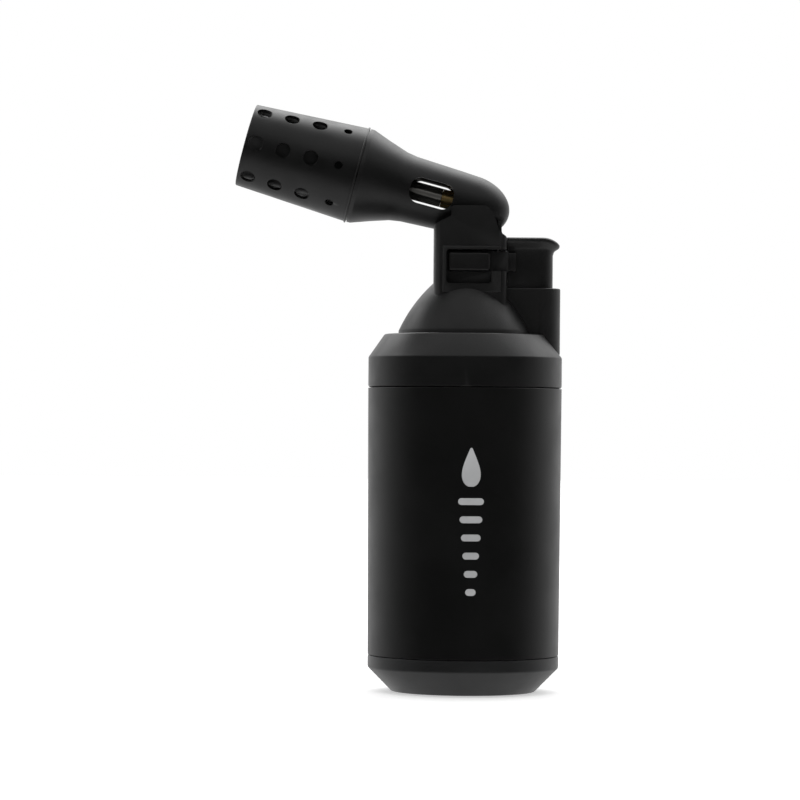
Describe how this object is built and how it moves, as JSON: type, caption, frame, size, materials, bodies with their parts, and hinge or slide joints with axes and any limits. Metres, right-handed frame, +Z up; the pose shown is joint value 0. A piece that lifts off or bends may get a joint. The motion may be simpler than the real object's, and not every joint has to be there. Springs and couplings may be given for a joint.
{
  "type": "butane torch",
  "caption": "Refillable butane torch with a round tank body, slanted perforated flame tube, thumb trigger, piezo ignition and a gas valve lever.",
  "frame": {"origin": "centre of the flat underside of the base cap, on the tank's axis", "axes": "+Z up along the tank, -X the way the burner points, +X the thumb trigger's side, +Y the side with the screw heads"},
  "size_m": [0.0834, 0.0492, 0.1486],
  "materials": {
    "base_plastic": "fine matt black moulding",
    "sleeve_metal": "matt black anodised",
    "ring_plastic": "satin black moulding",
    "head_plastic": "fine matt black moulding",
    "housing_plastic": "heat-proof satin black moulding",
    "trigger_plastic": "matt black moulding",
    "flame_tube_metal": "matt black heat-proof coat",
    "tank_plastic": "translucent grey moulding",
    "piezo_plastic": "white moulding",
    "wire_insulation": "soft red insulation",
    "seal_rubber": "matt",
    "hose_rubber": "smooth",
    "valve_brass": "turned",
    "burner_brass": "heat tinted",
    "plated_tube": "bright nickel plate",
    "electrode_nickel": "bright",
    "burner_steel": "heat tinted",
    "screw_steel": "black zinc",
    "lever_steel": "stamped",
    "spring_steel": "bright drawn wire",
    "insulator_ceramic": "glazed"
  },
  "bodies": {
    "torch_body": {"base_cap": "base_plastic", "outer_sleeve": "sleeve_metal", "shoulder_ring": "ring_plastic", "fuel_tank": "tank_plastic", "tank_lid": "tank_plastic", "tank_seal": "seal_rubber", "head_shell_left": "head_plastic", "head_shell_right": "head_plastic", "shell_screw": "screw_steel", "housing_screw": "screw_steel", "burner_housing": "housing_plastic", "flame_tube": "flame_tube_metal", "burner_cup": "burner_steel", "flame_holder": "burner_brass", "mixing_tube": "plated_tube", "gas_jet": "valve_brass", "gas_hose": "hose_rubber", "electrode_wire": "electrode_nickel", "electrode_insulator": "insulator_ceramic", "ignition_wire": "wire_insulation", "trigger_spring": "spring_steel", "piezo_body": "piezo_plastic", "lever_pin": "lever_steel", "gas_valve_body": "valve_brass", "valve_spring": "spring_steel", "refill_valve_body": "valve_brass", "refill_spring": "spring_steel", "refill_seal": "seal_rubber"},
    "trigger": {"ignition_trigger": "trigger_plastic", "piezo_plunger": "piezo_plastic"},
    "lever": {"valve_lever": "lever_steel"},
    "stem": {"valve_stem": "valve_brass", "valve_seal": "seal_rubber"},
    "adjuster": {"flow_adjuster": "valve_brass"},
    "refill_pin": {"refill_stem": "electrode_nickel"}
  },
  "joints": [
    {"name": "trigger_press", "type": "slide", "parent": "torch_body", "child": "trigger", "axis": [0, 0, -1], "range_m": [0, 0.003], "stiffness_N_per_m": 2000, "deforming": ["trigger_spring"]},
    {"name": "valve_lever_tilt", "type": "hinge", "parent": "torch_body", "child": "lever", "pos_m": [0.0026, 0, 0.0985], "axis": [0, -1, 0], "range_deg": [0, 27.4]},
    {"name": "valve_stem_lift", "type": "slide", "parent": "torch_body", "child": "stem", "axis": [0, 0, 1], "range_m": [0, 0.0012], "deforming": ["valve_spring"]},
    {"name": "flow_adjuster_turn", "type": "hinge", "parent": "torch_body", "child": "adjuster", "pos_m": [0.005, 0, 0.0033], "axis": [0, 0, 1], "range_deg": [-180, 180]},
    {"name": "refill_stem_push", "type": "slide", "parent": "torch_body", "child": "refill_pin", "axis": [0, 0, 1], "range_m": [0, 0.0015], "stiffness_N_per_m": 400, "deforming": ["refill_spring"]}
  ],
  "couplings": [
    {"joint": "valve_lever_tilt", "follows": "trigger_press", "rad_per_m": 158.7},
    {"joint": "valve_stem_lift", "follows": "trigger_press", "ratio": 0.375}
  ]
}
